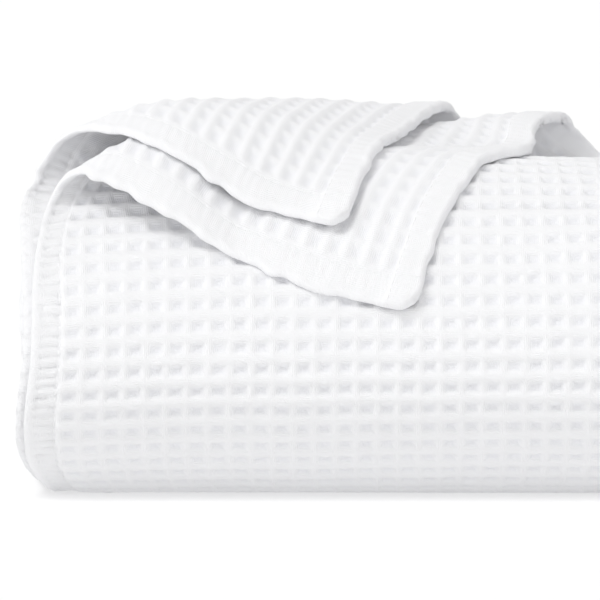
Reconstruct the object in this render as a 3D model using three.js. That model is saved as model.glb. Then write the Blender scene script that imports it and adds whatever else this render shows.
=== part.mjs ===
// Waffle weave cotton blanket, folded to a shelf bundle, its two top corners turned back.
// Millimetres, +X to the right, -Y to the front, +Z up. Origin: centre of the base.
//
// The cloth is one sheet. It is quartered along X into a strip of four plies, and the strip is
// folded three times along Y, so that the last fold wraps the whole front in one round nose.
// A place on the strip has p, the way in from the left side hem, q, the way back from the line
// where the nose meets the top, and n, the height over the strip's middle.
import * as THREE from 'three';

// The cloth and how it is folded
const BUNDLE_WIDTH = 381;
const THICKNESS = 2.5;
const HEM_WIDTH = 15;
const HEM_EXTRA = { packed: 0.4, looseSide: 0.8, looseEnd: 2.4 };
const PLY_PITCH = 4.85;
const PASS_PITCH = 20;
const NOSE_LINE_Y = -66;
const BACK_TURN_Y = 106;
const LOWER_END_Y = 98;
const TOP_LENGTH = 151;

// How the stack settles: the nose leans back, the ends draw in, the top falls away
const LEAN = { low: 30, high: 160, shift: 40 };
const DRAW_IN = { foot: 0.045, footPower: 9, top: 0.035, topPower: 4 };
const CROWN = { broad: 3.2, end: 4.2 };
const BACK_FALL = { start: -40, length: 220, drop: 11 };
const WANDER = { left: 2.2, right: 3.2, wave: 118 };
const SWELL = { height: 1.2, alongX: 260, alongY: 150 };
const FLAT_FOOT = 12;
const BASE_CENTRE = { x: 1.58, y: 5.4 };

// The two turned-back corners. Their tables run along the fold line (loop, fall) or in from the
// side hem (lift, spread). Rest is the height of the lying flap over its own ply.
const OUTER_CORNER = {
  ply: 1.5,
  hemInset: 5,
  foldStart: -47,
  foldAngle: 35.1,
  endLength: 151,
  slant: 0,
  bow: 8,
  reach: -5.8,
  rest: 4.7,
  loop: [
    { at: 0, radius: 10.4 },
    { at: 50, radius: 11.5 },
    { at: 110, radius: 8.4 },
    { at: 220, radius: 9 },
    { at: 280, radius: 12 },
    { at: 340, radius: 11.3 },
  ],
  fall: [
    { at: 0, length: 190 },
    { at: 40, length: 100 },
    { at: 90, length: 49 },
    { at: 200, length: 50 },
    { at: 290, length: 84 },
  ],
  lift: [{ at: 0, height: 1.5 }, { at: 40, height: 0 }],
  spread: [
    { at: 50, length: 0 },
    { at: 90, length: 4 },
    { at: 125, length: 20 },
    { at: 160, length: 8 },
    { at: 205, length: 0 },
  ],
};
const INNER_CORNER = {
  ply: 0.5,
  hemInset: 1,
  foldStart: -14.3,
  foldAngle: 34.2,
  endLength: 152,
  slant: 0.073,
  bow: 6,
  reach: 4.4,
  rest: 14,
  loop: [
    { at: 0, radius: 15 },
    { at: 60, radius: 18.2 },
    { at: 120, radius: 17.3 },
    { at: 220, radius: 16.5 },
  ],
  fall: [{ at: 0, length: 165 }, { at: 60, length: 92 }, { at: 160, length: 68 }],
  lift: [{ at: 0, height: 3 }, { at: 40, height: 0 }],
  spread: [{ at: 0, length: 0 }],
};
const BOW_WAY = 120;
const SLANT_WAY = 90;
const LIFT_WAY = 50;
const SPREAD_WAY = 90;
const REACH = { over: 45, along: 60 };

// The strip's way back and forth through the bundle, its passes counted from the floor up
const FOLDS = [
  { from: 7, to: 0, end: 'front', y: NOSE_LINE_Y },
  { from: 0, to: 3, end: 'back', y: BACK_TURN_Y },
  { from: 3, to: 4, end: 'front', y: NOSE_LINE_Y },
  { from: 4, to: 5, end: 'back', y: BACK_TURN_Y },
  { from: 5, to: 2, end: 'front', y: NOSE_LINE_Y },
  { from: 2, to: 1, end: 'back', y: BACK_TURN_Y },
  { from: 1, to: 6, end: 'front', y: NOSE_LINE_Y },
];

// How finely the surface is stepped
const ROWS = { nose: 6, under: 10, loop: 7, flap: 5 };
const ROW_GAP = 1.6;
const CORNER_START = -112;
const CORNER_STEPS = 12;
const PLAIN_STEPS = 4;
const NOSE_STEPS = 11;
const LEAST_STEPS = 4;
const PLY_TURN_STEPS = { wide: 4, tight: 3 };
const HEM_STEP = 1.5;

const NOSE_RADIUS = 3.5 * PASS_PITCH;
const STRIP_FOOT = 1.5 * PLY_PITCH + THICKNESS / 2;
const MIDDLE_Z = STRIP_FOOT + NOSE_RADIUS;
const WRAP_RADIUS = NOSE_RADIUS + 1.5 * PLY_PITCH;
const HALF_WIDTH = BUNDLE_WIDTH / 2;
const RIGHT_TURN_P = BUNDLE_WIDTH - 1.5 * PLY_PITCH;
const LEFT_TURN_P = 3 + PLY_PITCH / 2;
const LOWER_HEM_Y = LOWER_END_Y - HEM_WIDTH;
const LOWER_END_STOPS = [-20, 35, LOWER_HEM_Y - HEM_STEP, LOWER_HEM_Y + HEM_STEP, LOWER_END_Y];
const INSIDE_P = OUTER_CORNER.hemInset + HEM_WIDTH + HEM_STEP;

function clamp(value) {
  return THREE.MathUtils.clamp(value, 0, 1);
}

function ease(value) {
  return THREE.MathUtils.smoothstep(value, 0, 1);
}

// A table's value at a place, eased from row to row
function read(table, column, at) {
  let value = table[0][column];
  for (let i = 1; i < table.length; i += 1) {
    const from = table[i - 1];
    const to = table[i];
    if (at >= from.at) {
      const way = ease((at - from.at) / (to.at - from.at));
      value = from[column] + (to[column] - from[column]) * way;
    }
  }
  return value;
}

// Moves a neatly folded place to where it lies in the settled stack
function settle(x, y, z, length) {
  const span = Math.abs(x) / HALF_WIDTH;
  const side = x < 0 ? WANDER.left : WANDER.right;
  const wander = side * span ** 3 * Math.sin((2 * Math.PI * length) / WANDER.wave);
  const height = THREE.MathUtils.clamp((z - MIDDLE_Z) / MIDDLE_Z, -1, 1);
  const drawIn = height < 0
    ? DRAW_IN.foot * (-height) ** DRAW_IN.footPower
    : DRAW_IN.top * height ** DRAW_IN.topPower;
  const leant = y + LEAN.shift * ease((z - LEAN.low) / (LEAN.high - LEAN.low));
  const crown = CROWN.broad * span ** 2 + CROWN.end * span ** 8;
  const fall = BACK_FALL.drop * ease((leant - BACK_FALL.start) / BACK_FALL.length);
  const swellX = Math.sin((2 * Math.PI * x) / SWELL.alongX + 1);
  const swellY = Math.sin((2 * Math.PI * leant) / SWELL.alongY);
  const sink = crown + fall + SWELL.height * swellX * swellY;
  const loose = clamp((z - FLAT_FOOT) / (2 * MIDDLE_Z - FLAT_FOOT));
  const acrossX = (x + wander) * (1 - drawIn);
  return new THREE.Vector3(acrossX - BASE_CENTRE.x, leant - BASE_CENTRE.y, z - sink * loose);
}

// A place on the top pass, or on the outer nose in front of it
function onWrap(p, q, n) {
  const turn = Math.max(0, -q / WRAP_RADIUS);
  const radius = NOSE_RADIUS + n;
  const y = NOSE_LINE_Y + Math.max(0, q) - radius * Math.sin(turn);
  return settle(p - HALF_WIDTH, y, MIDDLE_Z + radius * Math.cos(turn), TOP_LENGTH - q);
}

function flipPlace(corner) {
  const length = corner.endLength - corner.foldStart;
  return length / Math.tan(THREE.MathUtils.degToRad(corner.foldAngle));
}

// A place on a ply whose corner is turned back over a slanting line, in a round loop
function onTurnedPly(corner, p, q) {
  const angle = THREE.MathUtils.degToRad(corner.foldAngle);
  const way = clamp((q - corner.foldStart) / (corner.endLength - corner.foldStart));
  const bow = 6.75 * way ** 2 * (1 - way) * ease(1 - p / BOW_WAY);
  const inward = p - corner.bow * bow;
  const slant = ease(way) * ease(1 - (p - flipPlace(corner)) / SLANT_WAY);
  const spread = read(corner.spread, 'length', p) * ease(1 - (corner.endLength - q) / SPREAD_WAY);
  const beyond = q + spread - corner.slant * p * slant - corner.foldStart;
  const over = beyond * Math.cos(angle) - inward * Math.sin(angle);
  const line = beyond * Math.sin(angle) + inward * Math.cos(angle);
  const radius = read(corner.loop, 'radius', line);
  const quarter = (Math.PI * radius) / 2;
  let across = over;
  let height = 0;
  if (over > quarter) {
    const fallen = clamp((over - quarter) / read(corner.fall, 'length', line));
    const held = (1 - fallen) ** 2 * (1 + 2 * fallen);
    const lift = read(corner.lift, 'height', p) * ease(1 - (corner.endLength - q) / LIFT_WAY);
    across = -over;
    height = corner.rest + (2 * radius - corner.rest) * held + lift;
  } else if (over > -quarter) {
    const turn = over / radius + Math.PI / 2;
    across = radius * Math.sin(turn) - quarter;
    height = radius * (1 - Math.cos(turn));
  }
  const reach = corner.reach * ease(1 - Math.abs(over + 5) / REACH.over) * ease(1 - p / REACH.along);
  const at = onWrap(
    line * Math.cos(angle) - across * Math.sin(angle) - reach,
    corner.foldStart + line * Math.sin(angle) + across * Math.cos(angle),
    corner.ply * PLY_PITCH + height,
  );
  return { at, turned: over > 0 };
}

// How far back each row crosses a ply: gathered round the loop, and even past its end
function rowPlaces(corner, p) {
  const body = ROWS.under + ROWS.loop + ROWS.flap;
  const spread = (from, to, step, steps) => from + ((to - from) * step) / steps;
  const plainEnd = TOP_LENGTH - HEM_WIDTH - HEM_STEP;
  const even = (row) => (
    row < ROWS.nose
      ? spread(CORNER_START, 0, row, ROWS.nose)
      : spread(0, plainEnd, row - ROWS.nose, body - ROWS.nose)
  );
  const hem = (end) => [end - HEM_WIDTH + HEM_STEP, end];
  const plain = [...Array(body + 1).keys()].map(even).concat(hem(TOP_LENGTH));
  if (!corner) {
    return plain;
  }
  const angle = THREE.MathUtils.degToRad(corner.foldAngle);
  const radius = read(corner.loop, 'radius', p / Math.cos(angle));
  const half = ((Math.PI / 2) * radius) / Math.cos(angle);
  const fold = corner.foldStart + p * (Math.tan(angle) + corner.slant);
  const flapEnd = corner.endLength - HEM_WIDTH - HEM_STEP;
  const gathered = [...Array(body + 1).keys()].map((row) => {
    const crest = Math.min(0, spread(CORNER_START, fold - half, ROWS.nose, ROWS.under));
    if (row <= ROWS.nose) {
      return spread(CORNER_START, crest, row, ROWS.nose);
    }
    if (row <= ROWS.under) {
      return spread(crest, fold - half, row - ROWS.nose, ROWS.under - ROWS.nose);
    }
    if (row <= ROWS.under + ROWS.loop) {
      return spread(fold - half, fold + half, row - ROWS.under, ROWS.loop);
    }
    return spread(fold + half, flapEnd, row - ROWS.under - ROWS.loop, ROWS.flap);
  }).concat(hem(corner.endLength));
  for (let row = body; row > 0; row -= 1) {
    gathered[row] = Math.min(gathered[row], gathered[row + 1] - ROW_GAP);
  }
  const past = ease((p - flipPlace(corner) - 15) / 70);
  return gathered.map((place, row) => place + (plain[row] - place) * past);
}

// The four plies across the strip, from the outer side hem round to the inner one. Facing is 1
// where the cloth's face looks up from the strip's middle, -1 where it looks down.
function stripSection(steps) {
  const section = [];
  const ply = (n, facing, stops, corner) => {
    stops.forEach((p, index) => {
      section.push({ p, n, facing, corner, sideHem: corner && index < 2 });
    });
  };
  const turn = (centreP, centreN, radius, start, sweep, count) => {
    for (let step = 1; step < count; step += 1) {
      const angle = start + (sweep * step) / count;
      const p = centreP + radius * Math.cos(angle);
      section.push({ p, n: centreN + radius * Math.sin(angle), facing: 0 });
    }
  };
  const inside = (count) => (
    [...Array(count).keys()].map((step) => INSIDE_P + ((RIGHT_TURN_P - INSIDE_P) * (step + 1)) / count)
  );
  const hemmed = ({ hemInset }) => {
    const line = hemInset + HEM_WIDTH;
    return [hemInset, line - HEM_STEP, line + HEM_STEP, ...inside(steps)];
  };
  const plain = [LEFT_TURN_P, INSIDE_P, ...inside(PLAIN_STEPS)];
  const outer = OUTER_CORNER.ply * PLY_PITCH;
  const inner = INNER_CORNER.ply * PLY_PITCH;
  const middle = -(outer + inner) / 2;
  const quarter = Math.PI / 2;
  ply(outer, 1, hemmed(OUTER_CORNER), OUTER_CORNER);
  turn(RIGHT_TURN_P, 0, outer, quarter, -Math.PI, PLY_TURN_STEPS.wide);
  ply(-outer, -1, plain.toReversed());
  turn(LEFT_TURN_P, middle, (outer - inner) / 2, -quarter, -Math.PI, PLY_TURN_STEPS.tight);
  ply(-inner, 1, plain);
  turn(RIGHT_TURN_P, 0, inner, -quarter, Math.PI, PLY_TURN_STEPS.tight);
  const last = section.length;
  ply(inner, -1, hemmed(INNER_CORNER), INNER_CORNER);
  section.push(...section.splice(last).reverse());
  let way = 0;
  section.forEach((place, index) => {
    const before = section[Math.max(0, index - 1)];
    way += Math.hypot(place.p - before.p, place.n - before.n);
    place.way = way;
  });
  return section;
}

// The strip's middle line from the outer nose to its lower end, with the way that n points
function stations() {
  const list = [];
  let length = TOP_LENGTH;
  let facing = 1;
  FOLDS.forEach((fold, index) => {
    const radius = (Math.abs(fold.to - fold.from) * PASS_PITCH) / 2;
    const centreZ = STRIP_FOOT + ((fold.from + fold.to) * PASS_PITCH) / 2;
    const away = fold.end === 'front' ? -1 : 1;
    const side = Math.sign(fold.from - fold.to);
    const steps = Math.max(LEAST_STEPS, Math.round((NOSE_STEPS * radius) / NOSE_RADIUS));
    const measured = index > 0 ? radius : WRAP_RADIUS;
    for (let step = 0; step <= steps; step += 1) {
      const turn = (Math.PI * step) / steps;
      const above = index > 0 || turn * WRAP_RADIUS > -CORNER_START + ROW_GAP;
      if (above) {
        list.push({
          y: fold.y + away * radius * Math.sin(turn),
          z: centreZ + side * radius * Math.cos(turn),
          outY: facing * side * away * Math.sin(turn),
          outZ: facing * Math.cos(turn),
          length: length + measured * turn,
        });
      }
    }
    length += Math.PI * measured;
    facing = -facing;
    const last = list[list.length - 1];
    const next = FOLDS[index + 1];
    const middle = next && (fold.y + next.y) / 2;
    const stops = next ? [middle] : LOWER_END_STOPS;
    stops.forEach((y) => list.push({ ...last, y, length: length + Math.abs(y - last.y) }));
    length += next ? Math.abs(next.y - fold.y) : 0;
  });
  list.slice(-2).forEach((station) => { station.endHem = true; });
  return list;
}

// Rows of places on the cloth's middle surface, from the top end hem to the lower one
function clothRows() {
  const fine = stripSection(CORNER_STEPS);
  const coarse = stripSection(PLAIN_STEPS);
  const places = fine.map(({ corner, p }) => rowPlaces(corner, p));
  const lastRow = places[0].length - 1;
  const rows = [];
  for (let row = lastRow; row >= 0; row -= 1) {
    rows.push(fine.map(({ p, n, way, facing, corner, sideHem }, index) => {
      const q = places[index][row];
      const place = corner ? onTurnedPly(corner, p, q) : { at: onWrap(p, q, n) };
      return { way, facing, sideHem, endHem: row > lastRow - 2, ...place };
    }));
  }
  stations().forEach(({ y, z, outY, outZ, length, endHem }) => {
    rows.push(coarse.map((place) => {
      const at = settle(place.p - HALF_WIDTH, y + place.n * outY, z + place.n * outZ, length);
      return { ...place, at, endHem };
    }));
  });
  return rows;
}

// Triangles between two rows of places, taken in the order in which they lie
function zip(first, second, faces) {
  let i = 0;
  let j = 0;
  while (i < first.length - 1 || j < second.length - 1) {
    const ahead = j === second.length - 1 || (
      i < first.length - 1 && first[i + 1].way <= second[j + 1].way
    );
    if (ahead) {
      faces.push([first[i], second[j], first[i + 1]]);
      i += 1;
    } else {
      faces.push([first[i], second[j], second[j + 1]]);
      j += 1;
    }
  }
}

// The cloth's middle surface given its thickness, with its edges closed
function clothGeometry() {
  const rows = clothRows();
  const places = rows.flat();
  const faces = [];
  for (let row = 1; row < rows.length; row += 1) {
    zip(rows[row - 1], rows[row], faces);
  }
  places.forEach((place, index) => {
    place.index = index;
    place.normal = new THREE.Vector3();
  });
  const edges = new Map();
  faces.forEach(([a, b, c]) => {
    const normal = b.at.clone().sub(a.at).cross(c.at.clone().sub(a.at));
    [a, b, c].forEach((place) => place.normal.add(normal));
    [[a, b], [b, c], [c, a]].forEach(([from, to]) => {
      const opposite = `${to.index} ${from.index}`;
      if (!edges.delete(opposite)) {
        edges.set(`${from.index} ${to.index}`, [from, to]);
      }
    });
  });
  const count = places.length;
  const position = new Float32Array(count * 6);
  places.forEach(({ at, normal, facing, sideHem, endHem, turned, index }) => {
    normal.normalize();
    const loose = endHem ? HEM_EXTRA.looseEnd : HEM_EXTRA.looseSide;
    const hemExtra = turned ? loose : HEM_EXTRA.packed;
    const extra = sideHem || endHem ? hemExtra : 0;
    const face = THICKNESS / 2 + (facing < 0 ? extra : 0);
    const back = THICKNESS / 2 + (facing > 0 ? extra : 0);
    at.clone().addScaledVector(normal, face).toArray(position, index * 3);
    at.clone().addScaledVector(normal, -back).toArray(position, (index + count) * 3);
  });
  const triangles = [];
  faces.forEach(([a, b, c]) => {
    triangles.push(a.index, b.index, c.index);
    triangles.push(a.index + count, c.index + count, b.index + count);
  });
  edges.forEach(([from, to]) => {
    triangles.push(from.index, from.index + count, to.index);
    triangles.push(to.index, from.index + count, to.index + count);
  });
  const geometry = new THREE.BufferGeometry();
  geometry.setAttribute('position', new THREE.BufferAttribute(position, 3));
  geometry.setIndex(triangles);
  return geometry;
}

const cotton = new THREE.MeshStandardMaterial({ color: 0xf4f4f6, roughness: 0.95, metalness: 0 });
const blanket = new THREE.Mesh(clothGeometry(), cotton);
blanket.name = 'blanket';

const group = new THREE.Group();
group.add(blanket);

export default group;
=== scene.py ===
"""Dresses the folded waffle weave cotton blanket: weave, hems, stitches, floor, light, camera.

A place on the sheet has s, the way across from its outer side hem, and w, the way along its
outer ply from its top end. The sheet is quartered across into a strip of four plies, which is
folded three times along. A place on the strip has p, the way in from its left side, q, the way
back from the line where the nose meets the top, n, the height over the strip's middle, and t,
the way along the strip from its top end. The script works in millimetres and makes its meshes
in metres.
"""

from __future__ import annotations

import logging
import math
from dataclasses import dataclass
from enum import Enum

import bpy
import numpy as np
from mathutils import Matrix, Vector

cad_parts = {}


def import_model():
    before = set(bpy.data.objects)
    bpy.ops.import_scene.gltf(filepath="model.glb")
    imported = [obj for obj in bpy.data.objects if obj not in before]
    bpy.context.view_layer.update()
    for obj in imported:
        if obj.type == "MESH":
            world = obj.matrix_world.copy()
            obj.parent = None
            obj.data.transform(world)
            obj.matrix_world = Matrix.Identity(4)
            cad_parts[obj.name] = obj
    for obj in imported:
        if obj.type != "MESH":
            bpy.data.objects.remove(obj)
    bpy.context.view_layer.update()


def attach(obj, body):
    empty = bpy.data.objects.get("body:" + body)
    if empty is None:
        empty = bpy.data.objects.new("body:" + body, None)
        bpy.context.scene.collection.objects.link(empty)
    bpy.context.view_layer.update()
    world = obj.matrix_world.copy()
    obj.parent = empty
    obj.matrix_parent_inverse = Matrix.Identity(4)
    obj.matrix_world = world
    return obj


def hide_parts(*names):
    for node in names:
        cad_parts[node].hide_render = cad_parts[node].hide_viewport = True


LOG = logging.getLogger("blanket")
MM = 0.001
FULL_TURN = 2 * math.pi
LATTICE = 64  # points along a side of each random lattice
TINY = 1e-6  # what is left to rounding errors
LEAST_AREA = 1e-9  # keeps normals defined where a grid has no area

Array = np.ndarray
Arrays = tuple[Array, Array]
Pair = tuple[float, float]
Triple = tuple[float, float, float]
Table = tuple[Pair, ...]  # rows of place and value
Layer = tuple[int, float, float]  # seed, size and share
Material = bpy.types.Material
NodeTree = bpy.types.NodeTree
Object = bpy.types.Object
Socket = bpy.types.NodeSocket


def eased(value: Array) -> Array:
    """Smooth step of a value from 0 to 1."""
    t = np.clip(value, 0.0, 1.0)
    return t * t * (3.0 - 2.0 * t)


def fading(value: Array, reach: float) -> Array:
    """Share that falls smoothly from 1 at nothing to 0 at the reach."""
    return eased(1 - value / reach)


def inside(value: Array, end: float, rim: float, reach: float) -> Array:
    """Share that is 0 on a rim at both ends of a range and rises to 1 over the reach."""
    return eased((value - rim) / reach) * eased((end - rim - value) / reach)


def bell(value: Array, width: float) -> Array:
    """Bell curve that is 1 at nothing."""
    return np.exp(-((value / width) ** 2))


def read_table(table: Table, at: Array) -> Array:
    """Reads a table of (at, value) rows, eased from row to row.

    Args:
        table: the rows, in rising order.
        at: the places to read.

    Returns:
        The value at each place.
    """
    value = np.full(np.shape(at), table[0][1], dtype=float)
    for (start, low), (end, high) in zip(table, table[1:]):
        way = eased((at - start) / (end - start))
        value = np.where(at >= start, low + (high - low) * way, value)
    return value


def wandering(x: Array, y: Array, *layers: Layer) -> Array:
    """Smooth random values over a plane.

    Args:
        x: first coordinate.
        y: second coordinate.
        layers: for each random lattice its seed, its points' distance and its largest value.

    Returns:
        The sum of the layers at each place.
    """
    total = 0.0
    for seed, size, share in layers:
        lattice = np.random.default_rng(seed).uniform(-1.0, 1.0, (LATTICE, LATTICE))
        u, v = np.broadcast_arrays(np.asarray(x) / size, np.asarray(y) / size)
        i, j = np.floor(u).astype(int), np.floor(v).astype(int)
        a, b = eased(u - i), eased(v - j)
        i, j, next_i, next_j = (number % LATTICE for number in (i, j, i + 1, j + 1))
        low = lattice[i, j] * (1 - a) + lattice[next_i, j] * a
        high = lattice[i, next_j] * (1 - a) + lattice[next_i, next_j] * a
        total = total + share * (low * (1 - b) + high * b)
    return total


@dataclass(frozen=True)
class Bundle:
    """The neatly folded strip, and how the stack settles."""

    width: float = 381.0
    thickness: float = 2.5
    plies: int = 4
    ply_pitch: float = 4.85
    passes: int = 8
    pass_pitch: float = 20.0
    left_inset: float = 3.0
    nose_line_y: float = -66.0
    back_turn_y: float = 106.0
    lower_end_y: float = 98.0
    top_length: float = 151.0
    lean: Triple = (30.0, 160.0, 40.0)  # from height, to height, shift back
    draw_foot: Pair = (0.045, 9.0)  # share, power
    draw_top: Pair = (0.035, 4.0)
    crown: tuple[tuple[float, int], ...] = ((3.2, 2), (4.2, 8))  # drop, power
    back_fall: Triple = (-40.0, 220.0, 11.0)  # from y, over, drop
    wander: Pair = (2.2, 3.2)  # left, right
    wander_length: float = 118.0
    wander_power: int = 3
    swell: float = 1.2
    swell_across: float = 260.0
    swell_along: float = 150.0
    swell_phase: float = 1.0
    flat_foot: float = 12.0
    base_centre: Pair = (1.58, 5.4)

    @property
    def nose_radius(self) -> float:
        """Radius of the outer nose at the strip's middle."""
        return (self.passes - 1) / 2 * self.pass_pitch

    @property
    def outer_n(self) -> float:
        """Height of the outer ply over the strip's middle."""
        return (self.plies - 1) / 2 * self.ply_pitch

    @property
    def wrap_radius(self) -> float:
        """Radius of the outer nose at its outer ply."""
        return self.nose_radius + self.outer_n

    @property
    def strip_foot(self) -> float:
        """Height of the lowest pass's middle over the floor."""
        return self.outer_n + self.thickness / 2

    @property
    def middle_z(self) -> float:
        """Height of the nose's centre."""
        return self.strip_foot + self.nose_radius

    @property
    def right_turn_p(self) -> float:
        """Where the plies start to turn at the right."""
        return self.width - self.outer_n

    @property
    def left_turn_p(self) -> float:
        """Where the inner plies start to turn at the left."""
        return self.left_inset + self.ply_pitch / 2

    def settle(self, x: Array, y: Array, z: Array, t: Array) -> Array:
        """Moves neatly folded places to where they lie in the settled stack.

        Args:
            x: place across, from the bundle's middle.
            y: place along.
            z: height over the floor.
            t: way along the strip.

        Returns:
            The settled places, with x, y and z in the last axis.
        """
        span = np.abs(x) / (self.width / 2)
        wander = np.where(x < 0, *self.wander) * span**self.wander_power
        wander = wander * np.sin(FULL_TURN * t / self.wander_length)
        height = np.clip((z - self.middle_z) / self.middle_z, -1.0, 1.0)
        pulls = (self.draw_foot, self.draw_top)
        draw = np.where(height < 0, *(pull * np.abs(height) ** power for pull, power in pulls))
        low, high, shift = self.lean
        leant = y + shift * eased((z - low) / (high - low))
        start, reach, drop = self.back_fall
        sink = sum(sag * span**power for sag, power in self.crown)
        sink = sink + drop * eased((leant - start) / reach)
        swell = self.swell * np.sin(FULL_TURN * x / self.swell_across + self.swell_phase)
        sink = sink + swell * np.sin(FULL_TURN * leant / self.swell_along)
        loose = np.clip((z - self.flat_foot) / (2 * self.middle_z - self.flat_foot), 0.0, 1.0)
        base_x, base_y = self.base_centre
        settled = ((x + wander) * (1 - draw) - base_x, leant - base_y, z - sink * loose)
        return np.stack(settled, axis=-1)

    def on_wrap(self, p: Array, q: Array, n: Array) -> Array:
        """Finds places on the top pass, or on the outer nose in front of it.

        Args:
            p: way in from the left side.
            q: way back from the nose's line.
            n: height over the strip's middle.

        Returns:
            The settled places.
        """
        turn = np.maximum(0.0, -q / self.wrap_radius)
        radius = self.nose_radius + n
        y = self.nose_line_y + np.maximum(0.0, q) - radius * np.sin(turn)
        z = self.middle_z + radius * np.cos(turn)
        return self.settle(p - self.width / 2, y, z, self.top_length - q)


@dataclass(frozen=True)
class TurnedCorner:
    """A top corner of one ply, turned back over a slanting fold line in a round loop.

    The loop's radius and the fall behind it are read along the fold line, and the lift of the
    end hem and its spread are read across the ply.
    """

    ply: float
    hem_inset: float
    fold_start: float
    fold_angle: float
    end_length: float
    slant: float
    bow: float
    reach: float
    rest: float
    loop: Table
    fall: Table
    lift: Table
    spread: Table
    bow_scale: float = 6.75
    bow_way: float = 120.0
    slant_way: float = 90.0
    lift_way: float = 50.0
    spread_way: float = 90.0
    reach_at: float = -5.0
    reach_over: float = 45.0
    reach_along: float = 60.0

    @property
    def angle(self) -> float:
        """The fold line's angle in radians."""
        return math.radians(self.fold_angle)

    @property
    def flip_p(self) -> float:
        """Where the fold line meets the end hem."""
        return (self.end_length - self.fold_start) / math.tan(self.angle)

    def over_fold(self, p: Array, q: Array) -> Arrays:
        """Finds where places lie by the fold line.

        Args:
            p: way in from the left side.
            q: way back from the nose's line.

        Returns:
            The way past the fold line, and the way along it.
        """
        way = np.clip((q - self.fold_start) / (self.end_length - self.fold_start), 0.0, 1.0)
        bow = self.bow_scale * way**2 * (1 - way) * fading(p, self.bow_way)
        inward = p - self.bow * bow
        slant = eased(way) * fading(p - self.flip_p, self.slant_way)
        beyond = q - self.slant * p * slant - self.fold_start
        over = beyond * math.cos(self.angle) - inward * math.sin(self.angle)
        line = beyond * math.sin(self.angle) + inward * math.cos(self.angle)
        return over, line

    def place(self, bundle: Bundle, p: Array, q: Array) -> Array:
        """Finds places on the ply, its corner turned back.

        Args:
            bundle: the bundle that the ply belongs to.
            p: way in from the left side.
            q: way back from the nose's line.

        Returns:
            The settled places.
        """
        to_end = self.end_length - q
        spread = read_table(self.spread, p) * fading(to_end, self.spread_way)
        over, line = self.over_fold(p, q + spread)
        radius = read_table(self.loop, line)
        quarter = math.pi * radius / 2
        turn = np.clip(over / radius + math.pi / 2, 0.0, math.pi)
        fallen = np.clip((over - quarter) / read_table(self.fall, line), 0.0, 1.0)
        held = (1 - fallen) ** 2 * (1 + 2 * fallen)
        lift = read_table(self.lift, p) * fading(to_end, self.lift_way)
        lying = self.rest + (2 * radius - self.rest) * held + lift
        beyond, looped = over > quarter, np.abs(over) <= quarter
        across = np.where(looped, radius * np.sin(turn) - quarter, np.where(beyond, -over, over))
        height = np.where(looped, radius * (1 - np.cos(turn)), np.where(beyond, lying, 0.0))
        reach = self.reach * fading(np.abs(over - self.reach_at), self.reach_over)
        reach = reach * fading(p, self.reach_along)
        return bundle.on_wrap(
            line * math.cos(self.angle) - across * math.sin(self.angle) - reach,
            self.fold_start + line * math.sin(self.angle) + across * math.cos(self.angle),
            self.ply * bundle.ply_pitch + height,
        )


OUTER_CORNER = TurnedCorner(
    ply=1.5,
    hem_inset=5.0,
    fold_start=-47.0,
    fold_angle=35.1,
    end_length=151.0,
    slant=0.0,
    bow=8.0,
    reach=-5.8,
    rest=4.7,
    loop=((0.0, 10.4), (50.0, 11.5), (110.0, 8.4), (220.0, 9.0), (280.0, 12.0), (340.0, 11.3)),
    fall=((0.0, 190.0), (40.0, 100.0), (90.0, 49.0), (200.0, 50.0), (290.0, 84.0)),
    lift=((0.0, 1.5), (40.0, 0.0)),
    spread=((50.0, 0.0), (90.0, 4.0), (125.0, 20.0), (160.0, 8.0), (205.0, 0.0)),
)
INNER_CORNER = TurnedCorner(
    ply=0.5,
    hem_inset=1.0,
    fold_start=-14.3,
    fold_angle=34.2,
    end_length=152.0,
    slant=0.073,
    bow=6.0,
    reach=4.4,
    rest=14.0,
    loop=((0.0, 15.0), (60.0, 18.2), (120.0, 17.3), (220.0, 16.5)),
    fall=((0.0, 165.0), (60.0, 92.0), (160.0, 68.0)),
    lift=((0.0, 3.0), (40.0, 0.0)),
    spread=((0.0, 0.0),),
)


class End(Enum):
    """The end of the bundle that a fold lies at, by its way along Y."""

    FRONT = -1
    BACK = 1


@dataclass(frozen=True)
class Fold:
    """One fold of the strip, between two passes counted from the floor up."""

    first: int
    then: int
    end: End

    @property
    def side(self) -> int:
        """1 where the strip comes in above the fold's centre, and -1 below it."""
        return 1 if self.first > self.then else -1

    def radius(self, bundle: Bundle) -> float:
        """Radius of the fold at the strip's middle."""
        return abs(self.then - self.first) * bundle.pass_pitch / 2

    def centre_y(self, bundle: Bundle) -> float:
        """Where the fold's centre lies along Y."""
        return bundle.nose_line_y if self.end is End.FRONT else bundle.back_turn_y

    def centre_z(self, bundle: Bundle) -> float:
        """Height of the fold's centre over the floor."""
        return bundle.strip_foot + (self.then + self.first) * bundle.pass_pitch / 2


@dataclass(frozen=True)
class Stretch:
    """A fold of the strip, or the flat run that follows it, with the side that faces out."""

    start: float
    end: float
    fold: Fold
    turning: bool
    facing: int


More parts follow.
